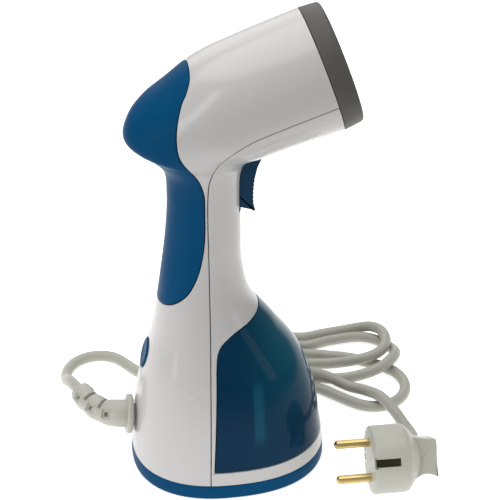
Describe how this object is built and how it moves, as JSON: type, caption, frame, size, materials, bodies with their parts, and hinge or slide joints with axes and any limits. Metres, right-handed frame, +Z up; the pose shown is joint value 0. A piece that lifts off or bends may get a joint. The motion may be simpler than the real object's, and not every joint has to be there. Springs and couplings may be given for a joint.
{
  "type": "handheld garment steamer",
  "caption": "Upright handheld garment steamer on its flat base, with a tilted round steam head, trigger, rear button, slide-out water tank and a loosely folded mains lead with its plug",
  "frame": {"origin": "middle of the footprint of the steamer itself, on the surface it stands on", "axes": "+X the way the steam head points, +Z up, +Y to the steamer's left when seen from behind it"},
  "size_m": [0.2085, 0.1837, 0.2616],
  "materials": {
    "white_plastic": "glossy moulded",
    "blue_plastic": "satin moulded",
    "tank_plastic": "polished, see-through dark teal",
    "grey_plastic": "fine satin",
    "trigger_plastic": "satin moulded",
    "pale_vinyl": "soft satin",
    "brass": "polished",
    "cast_aluminium": "as cast",
    "silicone": "matte",
    "steel": "plated",
    "black_plastic": "matte",
    "pale_plastic": "matte",
    "mica": "flaky matte",
    "wire_rubber": "matte",
    "copper": "enamelled copper winding",
    "circuit_green": "coated"
  },
  "bodies": {
    "housing": {"front_shell": "white_plastic", "rear_shell": "white_plastic", "grip_panel": "blue_plastic", "base_cover": "blue_plastic", "nozzle_ring": "grey_plastic", "strain_relief": "pale_vinyl", "mains_cord": "pale_vinyl", "plug_body": "pale_vinyl", "lead_tail": "pale_vinyl", "plug_pin_1": "brass", "plug_pin_2": "brass", "earth_clip_1": "brass", "earth_clip_2": "brass", "steam_plate": "cast_aluminium", "boiler": "cast_aluminium", "boiler_cover": "cast_aluminium", "boiler_seal": "silicone", "inlet_hose": "silicone", "outlet_hose": "silicone", "heating_element": "steel", "trigger_pin": "steel", "trigger_spring": "steel", "thermostat": "black_plastic", "thermal_fuse": "pale_plastic", "heat_shield": "mica", "heater_wire": "wire_rubber", "tank_socket": "black_plastic", "pump_body": "pale_plastic", "pump_coil": "copper", "circuit_board": "circuit_green", "terminal_block": "pale_plastic", "cord_clamp": "black_plastic", "power_switch": "black_plastic", "microswitch": "black_plastic", "shell_screw_1": "steel", "base_screw_1": "steel", "shell_screw_2": "steel", "base_screw_2": "steel", "shell_screw_3": "steel", "base_screw_3": "steel", "shell_screw_4": "steel", "base_screw_4": "steel", "boiler_screw_1": "steel", "boiler_screw_2": "steel", "boiler_screw_3": "steel", "clamp_screw_1": "steel", "clamp_screw_2": "steel"},
    "trigger": {"trigger": "trigger_plastic"},
    "button": {"power_button": "blue_plastic"},
    "tank": {"water_tank": "tank_plastic", "outlet_seal": "silicone", "valve_spring": "steel"},
    "cap": {"tank_cap": "grey_plastic"},
    "valve": {"outlet_valve": "pale_plastic"}
  },
  "joints": [
    {"name": "trigger_pivot", "type": "hinge", "parent": "housing", "child": "trigger", "pos_m": [-0.00219, 0, 0.18501], "axis": [0, 1, 0], "range_deg": [0, 6.5], "stiffness_Nm_per_rad": 0.3, "springref_deg": -8.59},
    {"name": "button_press", "type": "slide", "parent": "housing", "child": "button", "axis": [0.9673, 0, -0.2536], "range_m": [0, 0.0015], "stiffness_N_per_m": 600, "springref_m": -0.001},
    {"name": "tank_slide", "type": "slide", "parent": "housing", "child": "tank", "axis": [1, 0, 0], "range_m": [0, 0.025]},
    {"name": "cap_turn", "type": "hinge", "parent": "tank", "child": "cap", "pos_m": [-0.01519, 0, 0.06], "axis": [1, 0, 0], "range_deg": [0, 90]},
    {"name": "valve_slide", "type": "slide", "parent": "tank", "child": "valve", "axis": [1, 0, 0], "range_m": [0, 0.002], "stiffness_N_per_m": 200, "springref_m": -0.002}
  ]
}
